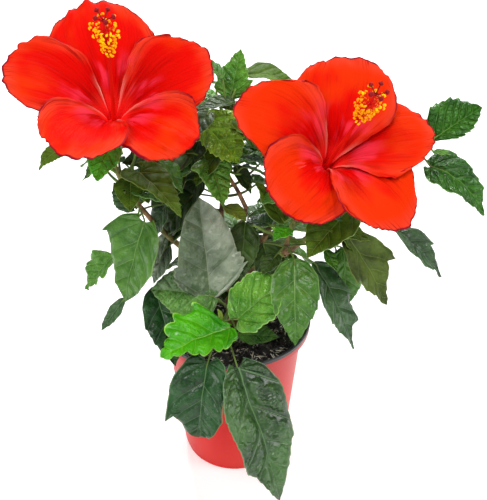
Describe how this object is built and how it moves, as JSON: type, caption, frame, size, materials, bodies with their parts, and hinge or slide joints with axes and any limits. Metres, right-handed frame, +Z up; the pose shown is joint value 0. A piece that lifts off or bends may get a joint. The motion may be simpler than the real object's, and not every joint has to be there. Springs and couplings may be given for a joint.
{
  "type": "potted hibiscus shrub",
  "caption": "Leafy hibiscus shrub with wide open red-orange blooms, growing in a plain round tapered nursery pot with a dark rim.",
  "frame": {"origin": "middle of the pot's flat underside, on the surface that it stands on", "axes": "+Z up along the pot's axis, the plant's front faces -Y, +X to the right as seen from the front"},
  "size_m": [0.3418, 0.2638, 0.4187],
  "materials": {
    "pot_plastic": "satin moulded plastic",
    "potting_mix": "loose dark fibrous mix",
    "bark": "fine rough bark",
    "leaf": "glossy living leaf",
    "petal": "soft satin petal",
    "pollen": "powdery pollen",
    "calyx": "matt green calyx"
  },
  "bodies": {
    "root": {"pot": "pot_plastic", "soil": "potting_mix", "trunk": "bark", "left_bough": "bark", "right_bough": "bark", "centre_bough": "bark", "far_bough": "bark", "back_left_bough": "bark", "back_right_bough": "bark", "left_bloom_corolla": "petal", "left_bloom_column": "pollen", "left_bloom_calyx": "calyx", "right_bloom_corolla": "petal", "right_bloom_column": "pollen", "right_bloom_calyx": "calyx", "front_shoot": "leaf", "left_shoot": "leaf", "centre_shoot": "leaf", "right_shoot": "leaf", "far_shoot": "leaf", "back_left_shoot": "leaf", "back_right_shoot": "leaf", "back_low_shoot": "leaf"}
  },
  "joints": []
}
